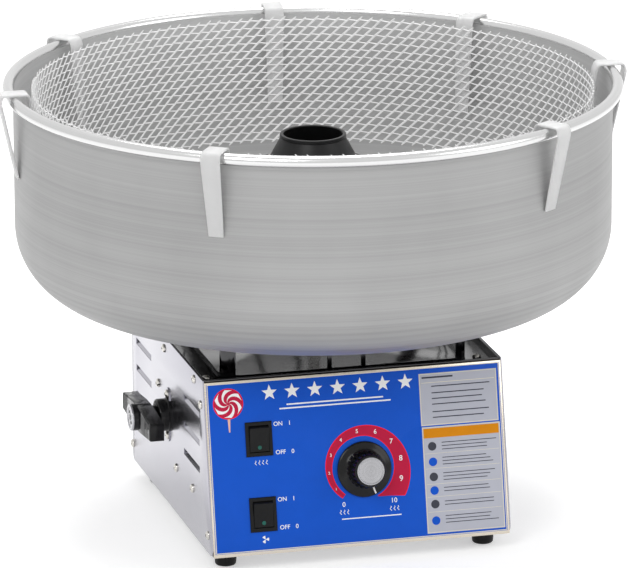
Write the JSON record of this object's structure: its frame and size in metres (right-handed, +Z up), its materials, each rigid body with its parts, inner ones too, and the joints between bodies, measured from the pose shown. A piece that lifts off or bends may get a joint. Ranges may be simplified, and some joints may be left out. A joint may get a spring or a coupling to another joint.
{
  "type": "cotton candy machine",
  "caption": "Countertop floss machine: lean-fronted steel cabinet with rocker switches and heat knob, a spinning sugar head, and a lift-off spun bowl that carries a clipped-in net.",
  "frame": {"origin": "on the table, under the head's shaft, at the middle of the cabinet's top", "axes": "+Z up along the shaft, -Y towards the front panel, +X to the right as seen from the front"},
  "size_m": [0.6799, 0.6689, 0.4807],
  "materials": {
    "sheet_steel": "brushed sheet",
    "overlay_blue": "smooth printed sheet",
    "spun_aluminium": "spun, satin",
    "net_plastic": "moulded",
    "clip_plastic": "translucent moulded",
    "black_head": "satin black",
    "head_metal": "machined",
    "ceramic": "unglazed",
    "steel": "ground",
    "knob_metal": "radially brushed",
    "black_plastic": "moulded",
    "lens_green": "clear tinted",
    "rubber": "moulded",
    "motor_paint": "painted",
    "brass": "turned",
    "carbon": "pressed"
  },
  "bodies": {
    "cabinet": {"back_panel": "sheet_steel", "bottom_plate": "sheet_steel", "brush_holder": "black_plastic", "brush_housing": "sheet_steel", "brushes": "carbon", "cord_gland": "black_plastic", "deck_tray": "sheet_steel", "foot_back_left": "rubber", "foot_back_right": "rubber", "foot_front_left": "rubber", "foot_front_right": "rubber", "front_panel": "sheet_steel", "handle_base": "black_plastic", "handle_screws": "steel", "heat_control": "black_plastic", "motor_body": "motor_paint", "motor_mounts": "rubber", "motor_plate": "sheet_steel", "overlay": "overlay_blue", "riser": "sheet_steel", "side_panel_left": "sheet_steel", "side_panel_right": "sheet_steel", "switch_lower": "black_plastic", "switch_upper": "black_plastic"},
    "bowl": {"bowl": "spun_aluminium", "clip_1": "clip_plastic", "clip_2": "clip_plastic", "clip_3": "clip_plastic", "clip_4": "clip_plastic", "clip_5": "clip_plastic", "clip_6": "clip_plastic", "clip_7": "clip_plastic"},
    "net": {"net": "net_plastic"},
    "spinner": {"shaft": "steel", "fan": "black_plastic", "ring_sleeve": "black_plastic", "slip_rings": "brass", "head_base": "black_head", "head_band": "head_metal", "head_cap": "black_head", "head_screws": "steel", "heating_element": "head_metal", "element_posts": "ceramic"},
    "rocker_upper": {"rocker_upper": "black_plastic", "lens_upper": "lens_green"},
    "rocker_lower": {"rocker_lower": "black_plastic", "lens_lower": "lens_green"},
    "heat_knob": {"knob": "black_plastic", "knob_cap": "knob_metal", "knob_shaft": "steel"},
    "turn_handle": {"handle_bar": "black_plastic", "handle_cap": "steel"}
  },
  "joints": [
    {"name": "spinner_spin", "type": "hinge", "parent": "cabinet", "child": "spinner", "pos_m": [0, 0, 0.324], "axis": [0, 0, 1], "continuous": true},
    {"name": "bowl_lift", "type": "slide", "parent": "cabinet", "child": "bowl", "axis": [0, 0, 1], "range_m": [0, 0.3]},
    {"name": "net_lift", "type": "slide", "parent": "bowl", "child": "net", "axis": [0, 0, 1], "range_m": [0, 0.16]},
    {"name": "rocker_upper_press", "type": "hinge", "parent": "cabinet", "child": "rocker_upper", "pos_m": [-0.106, -0.17332, 0.13675], "axis": [-1, 0, 0], "range_deg": [0, 16]},
    {"name": "rocker_lower_press", "type": "hinge", "parent": "cabinet", "child": "rocker_lower", "pos_m": [-0.106, -0.19014, 0.05884], "axis": [-1, 0, 0], "range_deg": [0, 16]},
    {"name": "heat_turn", "type": "hinge", "parent": "cabinet", "child": "heat_knob", "pos_m": [0.006, -0.18387, 0.09739], "axis": [0, -0.9775, 0.211], "range_deg": [0, 300]},
    {"name": "handle_turn", "type": "hinge", "parent": "cabinet", "child": "turn_handle", "pos_m": [-0.163, -0.008, 0.119], "axis": [-1, 0, 0], "range_deg": [0, 90]}
  ]
}
